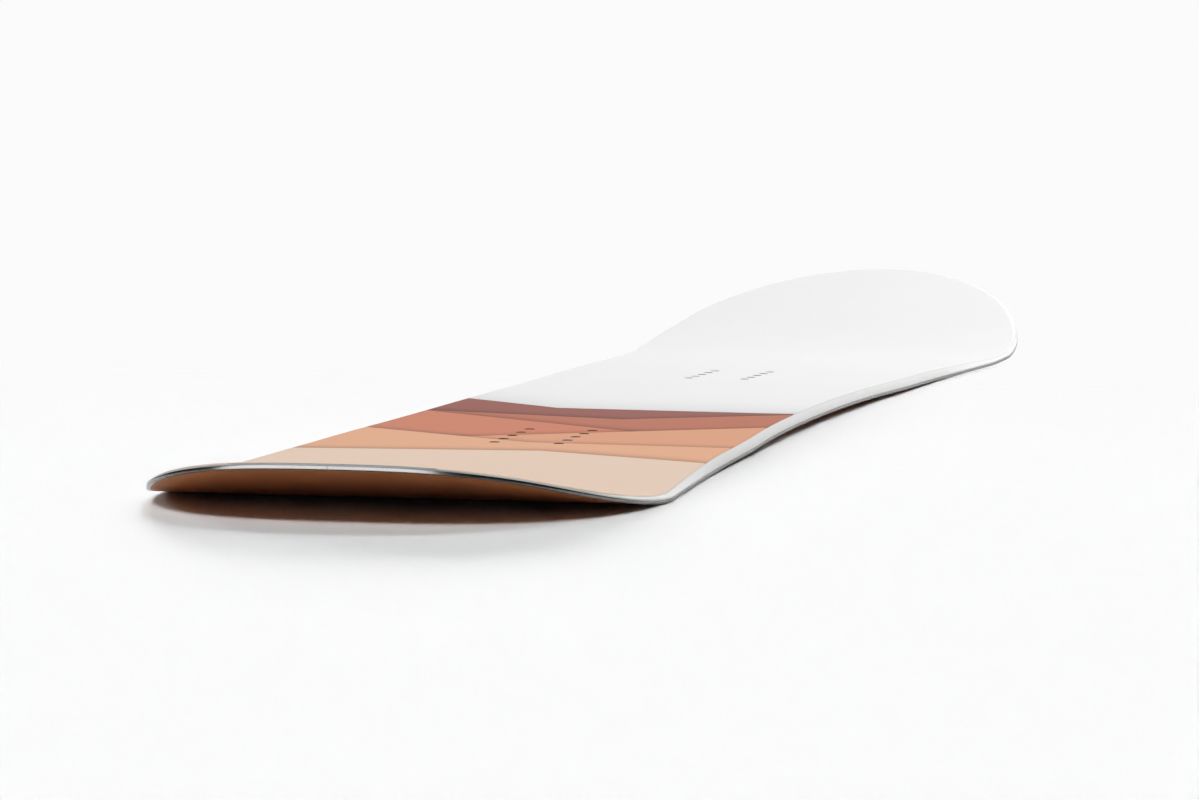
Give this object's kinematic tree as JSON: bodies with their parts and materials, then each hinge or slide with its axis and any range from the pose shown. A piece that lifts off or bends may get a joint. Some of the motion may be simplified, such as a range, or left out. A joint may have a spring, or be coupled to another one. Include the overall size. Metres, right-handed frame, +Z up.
{
  "type": "snowboard",
  "caption": "Bare snowboard with an upturned nose and tail, a narrow waist, a low camber arch, steel edges and threaded steel inserts for bindings.",
  "frame": {"origin": "on the ground, under the middle of the board's bounding box", "axes": "+X along the board towards the nose, +Y towards the left edge looking at the nose, +Z up out of the topsheet"},
  "size_m": [1.5, 0.29, 0.0546],
  "materials": {
    "topsheet": "clear glossy film, white with printed warm-coloured bands at the tail",
    "sidewall": "satin white ABS, machined to a bevel",
    "tip_spacer": "white ABS, only its rim shows",
    "steel_edge": "ground carbon steel with fine lengthwise scratches",
    "insert_steel": "stainless steel, turned",
    "base_sheet": "waxed polyethylene with a fine lengthwise grind",
    "glass_laminate": "glass cloth in epoxy resin",
    "poplar": "planed poplar",
    "beech": "planed beech"
  },
  "bodies": {
    "root": {"topsheet": "topsheet", "upper_glass_laminate": "glass_laminate", "lower_glass_laminate": "glass_laminate", "base_sheet": "base_sheet", "steel_edge_left": "steel_edge", "steel_edge_right": "steel_edge", "sidewall_left": "sidewall", "sidewall_right": "sidewall", "tail_tip_spacer": "tip_spacer", "nose_tip_spacer": "tip_spacer", "core_strip_centre": "poplar", "core_strip_inner_left": "poplar", "core_strip_inner_right": "poplar", "core_strip_middle_left": "poplar", "core_strip_middle_right": "poplar", "core_strip_outer_left": "poplar", "core_strip_outer_right": "poplar", "core_strip_insert_left": "beech", "core_strip_insert_right": "beech", "insert_rear_left_1": "insert_steel", "insert_rear_left_2": "insert_steel", "insert_rear_left_3": "insert_steel", "insert_rear_left_4": "insert_steel", "insert_rear_left_5": "insert_steel", "insert_rear_right_1": "insert_steel", "insert_rear_right_2": "insert_steel", "insert_rear_right_3": "insert_steel", "insert_rear_right_4": "insert_steel", "insert_rear_right_5": "insert_steel", "insert_front_left_1": "insert_steel", "insert_front_left_2": "insert_steel", "insert_front_left_3": "insert_steel", "insert_front_left_4": "insert_steel", "insert_front_left_5": "insert_steel", "insert_front_right_1": "insert_steel", "insert_front_right_2": "insert_steel", "insert_front_right_3": "insert_steel", "insert_front_right_4": "insert_steel", "insert_front_right_5": "insert_steel"}
  },
  "joints": []
}
